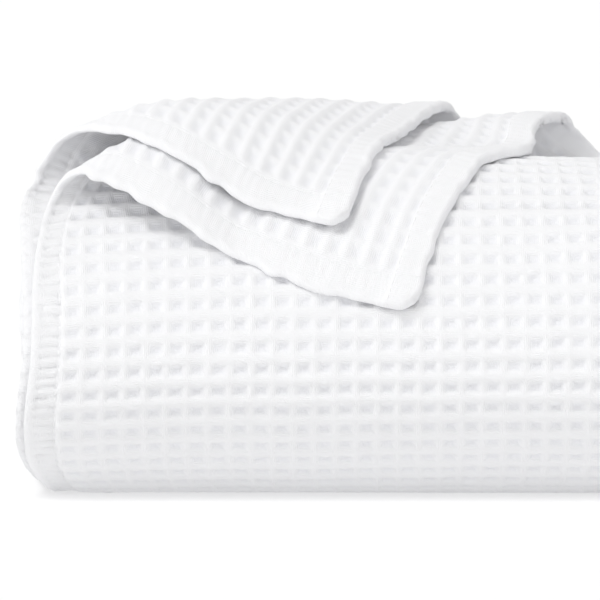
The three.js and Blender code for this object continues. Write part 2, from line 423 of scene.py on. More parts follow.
@dataclass(frozen=True)
class StripPath:
    """The strip's way back and forth below its top pass."""

    bundle: Bundle
    folds: tuple[Fold, ...] = (
        Fold(7, 0, End.FRONT),
        Fold(0, 3, End.BACK),
        Fold(3, 4, End.FRONT),
        Fold(4, 5, End.BACK),
        Fold(5, 2, End.FRONT),
        Fold(2, 1, End.BACK),
        Fold(1, 6, End.FRONT),
    )

    def stretches(self) -> list[Stretch]:
        """Lists the folds and the runs after them.

        Returns:
            The stretches in order, from the outer nose on.
        """
        bundle, found, start = self.bundle, [], self.bundle.top_length
        ends = [fold.centre_y(bundle) for fold in self.folds[1:]] + [bundle.lower_end_y]
        for index, (fold, until) in enumerate(zip(self.folds, ends)):
            facing = 1 if index % 2 == 0 else -1
            radius = fold.radius(bundle) if index else bundle.wrap_radius
            run = abs(until - fold.centre_y(bundle))
            for length, turning in ((math.pi * radius, True), (run, False)):
                found.append(Stretch(start, start + length, fold, turning, facing))
                start += length
        return found

    def fold_span(self, index: int) -> Pair:
        """Start and end of a fold, by its number in order, along the strip."""
        stretch = self.stretches()[2 * index]
        return stretch.start, stretch.end

    @property
    def start(self) -> float:
        """Way along the strip to the end of the outer nose."""
        return self.stretches()[0].end

    def outer_lengths(self) -> Arrays:
        """Compares ways along the strip with ways along its outer ply, which folds change.

        Returns:
            The ways along the strip's middle, and those along the outer ply.
        """
        bundle = self.bundle
        ways, outer = [0.0, self.start], [0.0, self.start]
        for part in self.stretches()[1:]:
            bend = part.facing * part.fold.side * bundle.outer_n / part.fold.radius(bundle)
            ways.append(part.end)
            outer.append(outer[-1] + (part.end - part.start) * (1 + bend * part.turning))
        return np.array(ways), np.array(outer)

    def place(self, p: Array, n: Array, t: Array) -> Array:
        """Finds places on the strip behind its outer nose.

        Args:
            p: way in from the left side.
            n: height over the strip's middle.
            t: way along the strip.

        Returns:
            The settled places, which mean nothing up to the end of the outer nose.
        """
        bundle = self.bundle
        y, z = np.zeros_like(t), np.zeros_like(t)
        for part in self.stretches()[1:]:
            fold, length = part.fold, part.end - part.start
            side, away, radius = fold.side, fold.end.value, fold.radius(bundle)
            way = np.clip((t - part.start) / length, 0.0, 1.0)
            turn = math.pi * way if part.turning else np.full_like(t, math.pi)
            run = 0.0 if part.turning else -away * length * way
            here_y = fold.centre_y(bundle) + away * radius * np.sin(turn) + run
            here_y = here_y + n * part.facing * side * away * np.sin(turn)
            here_z = fold.centre_z(bundle) + (side * radius + n * part.facing) * np.cos(turn)
            reached = t >= part.start - TINY
            y, z = np.where(reached, here_y, y), np.where(reached, here_z, z)
        return bundle.settle(p - bundle.width / 2, y, z, t)


@dataclass(frozen=True)
class StripSection:
    """The four plies across the strip, from the outer side hem round to the inner one."""

    bundle: Bundle
    outer_inset: float = OUTER_CORNER.hem_inset
    inner_inset: float = INNER_CORNER.hem_inset

    def stretches(self) -> list[Pair]:
        """Lists where the plies and the turns between them lie.

        Returns:
            The start and end of each along the section, in order.
        """
        bundle = self.bundle
        right, left = bundle.right_turn_p, bundle.left_turn_p
        inner_turn = math.pi * (bundle.ply_pitch / 2)
        runs = [
            right - self.outer_inset,
            math.pi * bundle.outer_n,
            right - left,
            inner_turn,
            right - left,
            inner_turn,
            right - self.inner_inset,
        ]
        ends = np.cumsum(runs)
        return list(zip(ends - runs, ends))

    @property
    def outer_end(self) -> float:
        """Where the outer ply ends and its turn starts."""
        return self.stretches()[0][1]

    @property
    def inner_start(self) -> float:
        """Where the inner ply starts, after the last turn."""
        return self.stretches()[-1][0]

    @property
    def end(self) -> float:
        """The cloth's whole width."""
        return self.stretches()[-1][1]

    def place(self, s: Array) -> Arrays:
        """Finds where places across the cloth lie in the strip.

        Args:
            s: way across the sheet.

        Returns:
            Their p and n.
        """
        bundle = self.bundle
        right, left = bundle.right_turn_p, bundle.left_turn_p
        outer, inner = bundle.outer_n, bundle.ply_pitch / 2
        _, wide, under, low, middle, tight, last = (start for start, _ in self.stretches())
        wide_turn, low_turn, tight_turn = (s - wide) / outer, (s - low) / inner, (s - tight) / inner
        rows = (
            (wide, right + outer * np.sin(wide_turn), outer * np.cos(wide_turn)),
            (under, right - (s - under), -outer),
            (low, left - inner * np.sin(low_turn), -2 * inner - inner * np.cos(low_turn)),
            (middle, left + (s - middle), -inner),
            (tight, right + inner * np.sin(tight_turn), -inner * np.cos(tight_turn)),
            (last, right - (s - last), inner),
        )
        p, n = self.outer_inset + s, np.full_like(s, outer)
        for start, new_p, new_n in rows:
            p, n = np.where(s >= start, new_p, p), np.where(s >= start, new_n, n)
        return p, n


@dataclass(frozen=True)
class Cloth:
    """The whole hemmed sheet, in cells of the weave, and how it runs unevenly."""

    bundle: Bundle = Bundle()
    outer_corner: TurnedCorner = OUTER_CORNER
    inner_corner: TurnedCorner = INNER_CORNER
    hem_width: float = 15.0
    cell: float = 10.0
    row_rise: float = 0.02
    rise_width: float = 390.0
    rise_reach: float = 70.0
    unsteady: float = 0.45
    row_wander: tuple[Layer, ...] = ((3, 26.0, 1.0), (4, 70.0, 1.5))
    column_wander: tuple[Layer, ...] = ((5, 26.0, 1.0), (6, 70.0, 1.0))
    steady_ends: Pair = (20.0, 60.0)  # rim, reach
    steady_sides: Pair = (14.0, 30.0)
    edge_wobble: float = 0.9
    edge_reach: float = 9.0
    side_wander: tuple[Layer, ...] = ((41, 7.0, 1.0), (42, 24.0, 0.7))
    end_wander: tuple[Layer, ...] = ((43, 7.0, 1.0), (44, 24.0, 0.7))
    calm: Triple = (0.75, 170.0, 60.0)  # share, from, over
    corner_round: float = 1.8
    longer_from: float = 15.0
    longer_reach: float = 70.0
    turn_blend: float = 10.0

    @property
    def path(self) -> StripPath:
        """The strip's way below its top pass."""
        return StripPath(self.bundle)

    @property
    def section(self) -> StripSection:
        """The strip's section."""
        return StripSection(self.bundle)

    @property
    def end(self) -> float:
        """The way along the outer ply to the sheet's lower end."""
        return float(self.path.outer_lengths()[1][-1])

    def from_side(self, s: Array) -> Array:
        """Way in from the nearer side hem."""
        return np.minimum(s, self.section.end - s)

    def cells(self, s: Array, w: Array) -> Arrays:
        """Place in cells, counted from the inner lines of the nearer side hem and the top hem."""
        return (self.from_side(s) - self.hem_width) / self.cell, (w - self.hem_width) / self.cell

    def along(self, s: Array, w: Array) -> Array:
        """Finds how far along the strip places lie, whose rows rise and run unsteadily.

        Args:
            s: way across the sheet.
            w: way along it.

        Returns:
            The way along the strip's middle.
        """
        rise = self.row_rise * np.minimum(s, self.rise_width)
        rise = rise * eased((w - self.bundle.top_length) / self.rise_reach)
        uneven = self.unsteady * wandering(s, w, *self.row_wander)
        shifted = w - (rise + uneven) * inside(w, self.end, *self.steady_ends)
        ways, outer = self.path.outer_lengths()
        return np.interp(shifted, outer, ways)

    def wobbled(self, s: Array, w: Array) -> Arrays:
        """Shifts places near the top hem and the side hems, whose edges run unevenly.

        Args:
            s: way across the sheet.
            w: way along it.

        Returns:
            The shifted ways.
        """
        s, w = np.broadcast_arrays(s, w)
        near, flat, reach = self.from_side(s), np.zeros(s.shape), self.edge_reach
        inward = np.where(self.section.end - s < s, -1.0, 1.0)
        calm_share, calm_from, calm_reach = self.calm
        by_side = bell(near, reach) * (1 - calm_share * eased((w - calm_from) / calm_reach))
        uneven = self.edge_wobble * wandering(w, flat, *self.side_wander)
        ragged = self.edge_wobble * wandering(s, flat, *self.end_wander)
        near_side, near_end = (np.clip(1 - way / reach, 0.0, 1.0) ** 2 for way in (near, w))
        tip = near_side * near_end * self.corner_round
        shifted = s + inward * uneven * by_side + inward * tip
        return shifted, w + ragged * bell(w, reach) + tip

    def place(self, s: Array, w: Array) -> Array:
        """Finds places on the sheet's middle surface.

        Args:
            s: way across the sheet.
            w: way along it.

        Returns:
            The settled places.
        """
        s, w = self.wobbled(s, w)
        section, path, bundle = self.section, self.path, self.bundle
        t = self.along(s, w)
        uneven = self.unsteady * wandering(s, w, *self.column_wander)
        p, n = section.place(s + uneven * inside(s, section.end, *self.steady_sides))
        q = bundle.top_length - t
        at, plain = path.place(p, n, t), t < path.start
        for ply, corner in self.corner_plies(s):
            top, plain = plain & ply, plain & ~ply
            at[top] = corner.place(bundle, p[top], self.reaching(corner, p[top], q[top]))
        at[plain] = bundle.on_wrap(p[plain], q[plain], n[plain])
        return at

    def corner_plies(self, s: Array) -> tuple[tuple[Array, TurnedCorner], ...]:
        """Where places belong to a ply whose corner is turned back, and that corner."""
        outer, inner = s <= self.section.outer_end, s >= self.section.inner_start
        return (outer, self.outer_corner), (inner, self.inner_corner)

    def reaching(self, corner: TurnedCorner, p: Array, q: Array) -> Array:
        """Finds how far back places lie on a ply that ends further back at its corner.

        Args:
            corner: the ply's corner.
            p: way in from the left side.
            q: way back from the nose's line on the strip.

        Returns:
            The way back on the ply.
        """
        longer = corner.end_length / self.bundle.top_length - 1
        at_corner = 1 - eased((p - corner.flip_p - self.longer_from) / self.longer_reach)
        return np.where(q > 0, q * (1 + longer * at_corner), q)

    def turned(self, s: Array, w: Array) -> Array:
        """Finds how far places belong to a turned-back corner.

        Args:
            s: way across the sheet.
            w: way along it.

        Returns:
            The share at each place, from 0 to 1.
        """
        s, w = np.broadcast_arrays(s, w)
        p, _ = self.section.place(s)
        share = np.zeros(s.shape)
        for ply, corner in self.corner_plies(s):
            over, _ = corner.over_fold(p, self.bundle.top_length - w)
            share = np.where(ply, eased(over / self.turn_blend + 0.5), share)
        return share

    def inner_ply(self, s: Array) -> Array:
        """Where places belong to a ply whose face looks down on the top pass."""
        start, end = self.section.stretches()[2]
        return ((s >= start) & (s <= end)) | (s >= self.section.inner_start)


def off_line(cells: Array) -> Array:
    """How far places in cells are from the nearest line between cells, 1 being midway."""
    return np.abs(cells - np.round(cells)) * 2


@dataclass(frozen=True)
class Hem:
    """The hem round the sheet: thicker and ribbed, with a rolled edge and a seam line inside."""

    cloth: Cloth
    blend: Pair = (1.0, 1.6)  # starts before the inner line by, over
    corner_blend: float = 1.5
    packed_extra: float = 0.4
    side_extra: float = 0.8
    end_extra: float = 2.4
    rib: float = 1.3
    turned_rib: float = 0.4
    rib_from: float = 4.0
    slack: Layer = (31, 4.5, 1.0)
    slack_shift: float = 0.9
    slack_rise: float = 0.25
    groove: float = 0.85
    groove_wander: Layer = (32, 6.0, 0.4)
    roll: Triple = (0.35, 2.4, 1.3)  # height, way in, width
    knob: float = 0.7
    seam: Pair = (-0.35, 0.9)  # height, half width
    edge_round: float = 2.2
    edge_left: float = 0.2

    def share(self, near: Array) -> Array:
        """The hem's share, from 0 to 1, by the way in from an edge."""
        start, reach = self.blend
        return 1 - eased((near - self.cloth.hem_width + start) / reach)

    def extra(self, s: Array, w: Array, turned: Array) -> Array:
        """Finds how much thicker the hem makes one side of the cloth.

        Args:
            s: way across the sheet.
            w: way along it.
            turned: the share of the turned-back corners.

        Returns:
            The extra thickness.
        """
        near = self.near(s, w)
        loose = self.side_extra + (self.end_extra - self.side_extra) * self.share(w)
        return self.share(near) * (self.packed_extra + (loose - self.packed_extra) * turned)

    def near(self, s: Array, w: Array) -> Array:
        """Way in from the nearest edge."""
        return np.minimum(self.cloth.from_side(s), np.minimum(w, self.cloth.end - w))

    def relief(self, s: Array, w: Array, turned: Array) -> Array:
        """Finds the height of the hem's ribs, of its rolled edge and of its seam.

        Args:
            s: way across the sheet.
            w: way along it.
            turned: the share of the turned-back corners.

        Returns:
            The height.
        """
        cloth, near = self.cloth, self.near(s, w)
        end = np.minimum(w, cloth.end - w)
        at_side = eased((end - cloth.from_side(s)) / self.corner_blend + 0.5)
        along = w * at_side + s * (1 - at_side)
        phase = FULL_TURN * (along - cloth.hem_width) / cloth.cell
        slack = wandering(s, w, self.slack)
        ribbing = self.turned_rib + (self.rib - self.turned_rib) * at_side
        ribbing = ribbing * (1 - turned) + self.turned_rib * turned
        groove = (0.5 + 0.5 * np.cos(2 * phase + self.slack_shift * slack)) ** 2
        groove = groove * (self.groove + wandering(s, w, self.groove_wander))
        rib = ribbing * (self.slack_rise * slack - groove)
        rise, centre, width = self.roll
        roll = rise * bell(near - centre, width) * (1 + self.knob * np.cos(phase))
        depth, half = self.seam
        seam = depth * bell(near - cloth.hem_width + half, half)
        return self.share(near) * (rib * (near > self.rib_from) + roll) + seam

    def rounding(self, near: Array) -> Array:
        """Finds the share of the thickness that the rounded edge leaves.

        Args:
            near: way in from the edge.

        Returns:
            The share, and beyond the edge the given way itself, which only serves the normals.
        """
        past = 1 - np.clip(near / self.edge_round, 0.0, 1.0)
        left = self.edge_left + (1 - self.edge_left) * np.sqrt(1 - past**2)
        return np.where(near < 0, near, left)


@dataclass(frozen=True)
class SlackLoops:
    """A slack yarn loop at each pit's upper edge, each its own size, with a dent below it."""

    height: float = 1.15
    seed: int = 21
    repeat: tuple[int, int] = (97, 89)
    size: Pair = (1.5, -0.25)  # spread, least
    radii: Pair = (0.19, 0.12)
    below_line: float = 0.26
    scatter: Pair = (0.2, 0.08)
    dent: float = 0.45
    dent_below: float = 1.5
    dent_bow: float = 0.4

    def relief(self, u: Array, v: Array) -> Array:
        """Finds the loops' height.

        Args:
            u: place in cells, across.
            v: place in cells, along.

        Returns:
            The height, below 0 in the dents.
        """
        column, row = np.floor(u).astype(int), np.floor(v).astype(int)
        columns, rows = self.repeat
        chance = np.random.default_rng(self.seed).uniform(0.0, 1.0, (3, columns, rows))
        size, aside, down = chance[:, column % columns, row % rows]
        across = u - column - 0.5 + (aside - 0.5) * self.scatter[0]
        along = v - row - self.below_line - (down - 0.5) * self.scatter[1]
        across, along = across / self.radii[0], along / self.radii[1]
        loop = np.exp(-(across**2 + along**2))
        below = along - self.dent_below + self.dent_bow * across**2
        dent = self.dent * np.exp(-(across**2 + below**2))
        spread, least = self.size
        return self.height * (np.clip(size * spread + least, 0.0, 1.0) * (loop - dent))


@dataclass(frozen=True)
class Weave:
    """The waffle weave's relief, with the hems round it.

    The face has pits between crossing ridges. The reverse has ribs along the rows, tied by
    lower cross ridges.
    """

    cloth: Cloth
    hem: Hem
    loops: SlackLoops = SlackLoops()
    pit: float = -0.55
    ridge: float = 1.55
    column_edge: Pair = (0.06, 0.72)  # flat top, slope
    column_height: float = 0.84
    column_wander: Layer = (11, 0.7, 0.14)
    row_edge: Pair = (0.2, 0.66)
    row_wander: Layer = (12, 0.7, 0.1)
    crossing: float = 0.1
    rib_pit: float = -0.6
    rib: float = 1.35
    rib_wander: Layer = (13, 0.8, 0.12)
    tie: float = 0.62
    tie_slope: float = 1.1
    tie_wander: Layer = (14, 0.9, 0.2)
    turned_face: float = 0.25
    inner_back: float = 0.6
    # relief value that the hems show: the finish paints them at the ridge colour, without painted
    # pit shade
    hem_shown: float = 0.75

    def waffle(self, u: Array, v: Array) -> Array:
        """Finds the face's relief.

        Args:
            u: place in cells, across.
            v: place in cells, along.

        Returns:
            The relief, from 0 in a pit to 1 on a ridge and a little over where they cross.
        """
        column, row = (
            1 - eased((off_line(place) - flat) / slope)
            for place, (flat, slope) in ((u, self.column_edge), (v, self.row_edge))
        )
        column = column * (self.column_height + wandering(u, v, self.column_wander))
        row = row * (1 + wandering(u, v, self.row_wander))
        return np.maximum(column, row) + self.crossing * column * row

    def ribbed(self, u: Array, v: Array) -> Array:
        """Finds the reverse's relief.

        Args:
            u: place in cells, across.
            v: place in cells, along.

        Returns:
            The relief, from 0 in a pit to 1 on a rib.
        """
        v = v + 0.5
        rib = (1 - eased(off_line(v))) * (1 + wandering(u, v, self.rib_wander))
        tie = self.tie * (1 - eased(off_line(u) * self.tie_slope))
        return np.maximum(rib, tie * (1 + wandering(u, v, self.tie_wander)))

    def offsets(self, s: Array, w: Array, strength: float) -> tuple[Array, Array, Array]:
        """Finds how far the two sides stand off the cloth's middle.

        Args:
            s: way across the sheet.
            w: way along it.
            strength: how much of the relief is in the mesh, from 0 to 1.

        Returns:
            The face's offset and the back's offset, and the relief of the side that shows,
            from 0 to 1, which the finishes paint as shade in the pits.
        """
        s, w = np.broadcast_arrays(s, w)
        turned, inner = self.cloth.turned(s, w), self.cloth.inner_ply(s)
        near, cells = self.hem.near(s, w), self.cloth.cells(s, w)
        share, relief = self.hem.share(near), self.hem.relief(s, w, turned)
        waffle, ribbed = self.waffle(*cells), self.ribbed(*cells)
        hidden = 1 - (1 - self.turned_face) * turned
        waffled = self.pit + (self.ridge - self.pit) * waffle + self.loops.relief(*cells)
        ribs = self.rib_pit + (self.rib - self.rib_pit) * ribbed
        woven_face = np.where(inner, ribs, waffled * hidden)
        woven_back = np.where(inner, waffled * self.inner_back * hidden, ribs)
        extra, rounding = self.hem.extra(s, w, turned), self.hem.rounding(near)
        face, back = (
            (woven * ((1 - share) * strength) + relief + self.cloth.bundle.thickness / 2
             + np.where(thicker, extra, 0.0)) * rounding
            for woven, thicker in ((woven_face, inner), (woven_back, ~inner))
        )
        # relief of the side that shows, which the finishes paint as shade in its pits
        shown = np.where(inner | (turned > 0.5), ribbed, waffle)
        return face, back, shown * (1 - share) + self.hem_shown * share


@dataclass
class Shell:
    """A closed grid of cloth with its two sides."""

    sides: Array
    normals: Array
    cells: Array
    shown: Array

    def quads(self) -> Array:
        """Lists the corners of its faces, by number.

        Returns:
            The corners of the faces of the face's side, of the back's, and of the walls.
        """
        rows, columns = self.shown.shape
        count = rows * columns
        index = np.arange(count).reshape(rows, columns)
        grid = [index[:-1, :-1], index[1:, :-1], index[1:, 1:], index[:-1, 1:]]
        face = np.stack(grid, axis=-1).reshape(-1, 4)
        border = np.concatenate([index[:, 0], index[-1, 1:], index[-2::-1, -1], index[0, -2::-1]])
        start, end = border[:-1], border[1:]
        walls = np.stack([end, start, start + count, end + count], axis=-1)
        return np.concatenate([face, face[:, ::-1] + count, walls])


@dataclass(frozen=True)
class Patch:
    """One closed patch of the cloth between given rows and columns."""

    columns: Array
    rows: Array
    strength: float = 1.0
    rim: float = 0.5

    def build(self, weave: Weave) -> Shell:
        """Makes the patch's two sides, on a grid with a rim that only serves the normals.

        Args:
            weave: the cloth's weave.

        Returns:
            The closed shell.
        """
        s, w = self.beyond(self.columns)[None, :], self.beyond(self.rows)[:, None]
        middle = weave.cloth.place(s, w)
        out = self.normals(middle)
        face, back, shown = weave.offsets(s, w, self.strength)
        sides = np.stack([middle + out * face[..., None], middle - out * back[..., None]])
        sides[..., 2] = np.maximum(sides[..., 2], 0.0)
        normals = np.stack([self.normals(sides[0]), -self.normals(sides[1])])
        cells = np.stack(np.broadcast_arrays(*weave.cloth.cells(s, w)), axis=-1)
        trim = (slice(1, -1), slice(1, -1))
        return Shell(sides[:, *trim], normals[:, *trim], cells[trim], shown[trim])

    def beyond(self, stops: Array) -> Array:
        """Adds one stop before the first and one past the last."""
        return np.concatenate([[stops[0] - self.rim], stops, [stops[-1] + self.rim]])

    @staticmethod
    def normals(at: Array) -> Array:
        """Unit normals of a grid of places, on the face's side."""
        cross = np.cross(np.gradient(at, axis=0), np.gradient(at, axis=1))
        return cross / np.maximum(np.linalg.norm(cross, axis=-1, keepdims=True), LEAST_AREA)


def add_object(name: str, data: bpy.types.ID) -> Object:
    """Adds an object with its data to the scene.

    Args:
        name: the object's name.
        data: its mesh, light or camera.

    Returns:
        The object.
    """
    made = bpy.data.objects.new(name, data)
    bpy.context.scene.collection.objects.link(made)
    return made


@dataclass(frozen=True)
class ClothPiece:
    """A piece of the scene, made of closed patches of the cloth."""

    name: str
    patches: list[Patch]

    def build(self, weave: Weave, material: Material) -> Object:
        """Makes the piece's object, with the weave's cells as its UV map.

        Args:
            weave: the cloth's weave.
            material: the finish that it gets.

        Returns:
            The object.
        """
        places, normals, cells, shown, quads = [], [], [], [], []
        count = 0
        for patch in self.patches:
            shell = patch.build(weave)
            places.append(shell.sides.reshape(-1, 3))
            normals.append(shell.normals.reshape(-1, 3))
            cells += [shell.cells.reshape(-1, 2)] * 2
            shown += [shell.shown.ravel()] * 2
            quads.append(shell.quads() + count)
            count += 2 * shell.shown.size
        corners = np.concatenate(quads)
        mesh = bpy.data.meshes.new(self.name)
        mesh.vertices.add(count)
        mesh.vertices.foreach_set("co", (np.concatenate(places) * MM).ravel())
        mesh.loops.add(corners.size)
        mesh.loops.foreach_set("vertex_index", corners.ravel().astype(np.int32))
        mesh.polygons.add(len(corners))
        mesh.polygons.foreach_set("loop_start", np.arange(0, corners.size, 4, dtype=np.int32))
        mesh.update(calc_edges=True)
        uv_layer = mesh.uv_layers.new(name="cloth")
        uv_layer.data.foreach_set("uv", np.concatenate(cells)[corners.ravel()].ravel())
        # relief of the side that shows, from which the finishes paint shade into the pits
        relief = mesh.attributes.new("relief", "FLOAT", "POINT")
        relief.data.foreach_set("value", np.concatenate(shown))
        mesh.polygons.foreach_set("use_smooth", np.full(len(corners), True))
        mesh.materials.append(material)
        mesh.normals_split_custom_set_from_vertices(np.concatenate(normals).tolist())
        mesh.validate()
        return add_object(self.name, mesh)


def stops(start: float, end: float, step: float) -> Array:
    """Even stops from start to end, both among them, no further apart than step."""
    return np.linspace(start, end, max(2, math.ceil((end - start) / step - TINY) + 1))


def joined(*runs: Array) -> Array:
    """Joins runs of stops, each but the first without its own first stop."""
    return np.concatenate([runs[0], *(run[1:] for run in runs[1:])])


@dataclass(frozen=True)
class BlanketPieces:
    """How the sheet is split into pieces, finer where the weave shows most."""

    cloth: Cloth
    fine: float = 1.25
    fold_step: float = 1.667
    side_step: float = 2.0
    layer_step: float = 2.5
    turn_steps: Pair = (1.0, 1.3)  # left, right
    hidden_step: float = 120.0
    inner_step: float = 80.0
    outer_step: float = 110.0
    fold_relief: float = 0.8
    round_edge: tuple[float, ...] = (0.0, 0.35, 0.9, 1.6, 2.5)
    layer_edge: float = 20.0
    top_rows: float = 211.25
    nose_end: float = 391.25
    corner_columns: float = 296.25
    fine_columns: float = 397.5
    inner_rows: float = 181.25
    inner_p: float = 250.0
    side_columns: float = 352.5
    past_fold: float = 15.0

    @property
    def inner_start(self) -> float:
        """Finds where the inner corner starts, whole cells away from its hem.

        Returns:
            The way across the sheet.
        """
        hem, cell = self.cloth.hem_width, self.cloth.cell
        cells = math.floor((self.inner_p - hem - self.cloth.inner_corner.hem_inset) / cell)
        return self.cloth.section.end - hem - cells * cell

    def edge(self, until: float, step: float) -> Array:
        """Stops from a rounded hem edge inwards, locked to the weave's cells."""
        return joined(np.array(self.round_edge), stops(self.round_edge[-1], until, step))

    def far_edge(self, start: float, end: float, step: float) -> Array:
        """Stops from inside the sheet out to its far hem edge."""
        return end - self.edge(end - start, step)[::-1]

    def columns(self, step: float) -> Array:
        """Stops across the outer ply, round its hem and to the end of the fine columns."""
        hem = self.cloth.hem_width
        return joined(self.edge(hem, step), stops(hem, self.fine_columns, step))

    def rows(self, start: float, end: float, step: float) -> Array:
        """Stops along the sheet, rounded at its lower hem."""
        at_hem = end >= self.cloth.end
        return self.far_edge(start, end, step) if at_hem else stops(start, end, step)

    def back_folds(self) -> list[Pair]:
        """Finds the two folds that show at the back.

        Returns:
            The start and end of each, as ways along the outer ply.
        """
        ways, outer = self.cloth.path.outer_lengths()
        spans = (np.interp(self.cloth.path.fold_span(index), ways, outer) for index in (1, 3))
        return [(start - self.past_fold, end + self.past_fold) for start, end in spans]

    def lower_runs(self) -> list[Pair]:
        """The stretches of the outer ply below the nose and between the folds that show."""
        (first, first_end), (second, second_end) = self.back_folds()
        return [(self.nose_end, first), (first_end, second), (second_end, self.cloth.end)]

    def lower_patches(self, columns: Array, step: float, strength: float) -> list[Patch]:
        """Patches of the given columns on the stretches below the nose."""
        return [Patch(columns, self.rows(*run, step), strength) for run in self.lower_runs()]

    def detailed(self) -> list[ClothPiece]:
        """Splits off the pieces whose weave is in the mesh.

        Returns:
            The pieces.
        """
        fine, top = self.fine, self.edge(self.top_rows, self.fine)
        inner = self.far_edge(self.inner_start, self.cloth.section.end, fine)
        low, high = (
            Patch(self.columns(self.fold_step), stops(*fold, self.fold_step), self.fold_relief)
            for fold in self.back_folds()
        )
        side = stops(self.side_columns, self.fine_columns, self.side_step)
        pieces = {
            "front": [Patch(self.columns(fine), stops(self.top_rows, self.nose_end, fine))],
            "outer_corner": [Patch(self.edge(self.corner_columns, fine), top)],
            "top_end": [Patch(stops(self.corner_columns, self.fine_columns, fine), top)],
            "inner_corner": [Patch(inner, self.edge(self.inner_rows, fine))],
            "back_fold_low": [low],
            "back_fold_high": [high],
            "side_folds": self.lower_patches(side, self.side_step, self.fold_relief),
        }
        return [ClothPiece(name, patches) for name, patches in pieces.items()]

    def layers(self) -> ClothPiece:
        """Gathers the plies and passes that lie inside the bundle, and its left end.

        Returns:
            The piece.
        """
        section, step = self.cloth.section, self.layer_step
        _, _, _, low, middle, tight, last = (start for start, _ in section.stretches())
        low_step, tight_step = self.turn_steps
        hem_start = section.end - self.layer_edge
        plies = joined(
            stops(self.fine_columns, low, self.hidden_step),
            stops(low, middle, low_step),
            stops(middle, tight, self.hidden_step),
            stops(tight, last, tight_step),
            stops(last, self.inner_start, self.inner_step),
        )
        hemmed = joined(
            stops(self.inner_start, hem_start, self.inner_step),
            self.far_edge(hem_start, section.end, step),
        )
        left = joined(
            self.edge(self.layer_edge, step),
            stops(self.layer_edge, self.side_columns, self.outer_step),
        )
        below = self.rows(self.nose_end, self.cloth.end, step)
        return ClothPiece("folded_layers", [
            Patch(plies, self.edge(self.nose_end, step), 0.0),
            Patch(hemmed, stops(self.inner_rows, self.nose_end, step), 0.0),
            Patch(joined(plies, hemmed), below, 0.0),
            *self.lower_patches(left, step, 0.0),
        ])


class NodeGraph:
    """A node tree that is filled node by node."""

    def __init__(self, tree: NodeTree) -> None:
        """Takes the tree to fill."""
        self.tree = tree

    def socket(self, name: str, kind: str, in_out: str = "INPUT") -> None:
        """Adds a named input or output to the group."""
        self.tree.interface.new_socket(name=name, in_out=in_out, socket_type=f"NodeSocket{kind}")

    def node(self, kind: str, values: dict | None = None, **settings: object) -> bpy.types.Node:
        """Adds a node.

        Args:
            kind: the node's type.
            values: for each input, by name or number, a value or the output that feeds it.
            settings: the node's own properties.

        Returns:
            The node.
        """
        made = self.tree.nodes.new(kind)
        for name, setting in settings.items():
            setattr(made, name, setting)
        for key, value in (values or {}).items():
            if isinstance(value, Socket):
                self.tree.links.new(value, made.inputs[key])
            else:
                made.inputs[key].default_value = value
        return made

    def put(self, kind: str, values: dict | None = None, **settings: object) -> Socket:
        """Adds a node as above, and returns its first output."""
        return self.node(kind, values, **settings).outputs[0]

    def math(self, operation: str, *values: object) -> Socket:
        """Adds a math node with the given inputs, and returns its output."""
        return self.put("ShaderNodeMath", dict(enumerate(values)), operation=operation)

    def noise(self, vector: Socket, scale: float, detail: float, roughness: float = 0.5) -> Socket:
        """Adds a noise texture.

        Args:
            vector: the places to read it at.
            scale: its scale.
            detail: its number of octaves.
            roughness: how much the finer octaves count.

        Returns:
            Its value.
        """
        return self.put("ShaderNodeTexNoise", {
            "Vector": vector, "Scale": scale, "Detail": detail, "Roughness": roughness,
        })

    def blend(self, factor: Socket, first: Triple, second: Triple) -> Socket:
        """Adds a blend of two colours.

        Args:
            factor: the second colour's share.
            first: the first colour.
            second: the second colour.

        Returns:
            The blended colour.
        """
        made = self.node("ShaderNodeMix", {
            "Factor": factor, 6: (*first, 1.0), 7: (*second, 1.0),
        }, data_type="RGBA")
        return made.outputs[2]

    def surface(self, values: dict) -> None:
        """Adds the shader with the given inputs, and the material's output."""
        shader = self.put("ShaderNodeBsdfPrincipled", values)
        self.node("ShaderNodeOutputMaterial", {"Surface": shader})


def empty_material(name: str) -> tuple[Material, NodeGraph]:
    """Adds a material without nodes.

    Args:
        name: the material's name.

    Returns:
        The material, and the graph to fill.
    """
    material = bpy.data.materials.new(name)
    material.use_nodes = True
    material.node_tree.nodes.clear()
    return material, NodeGraph(material.node_tree)


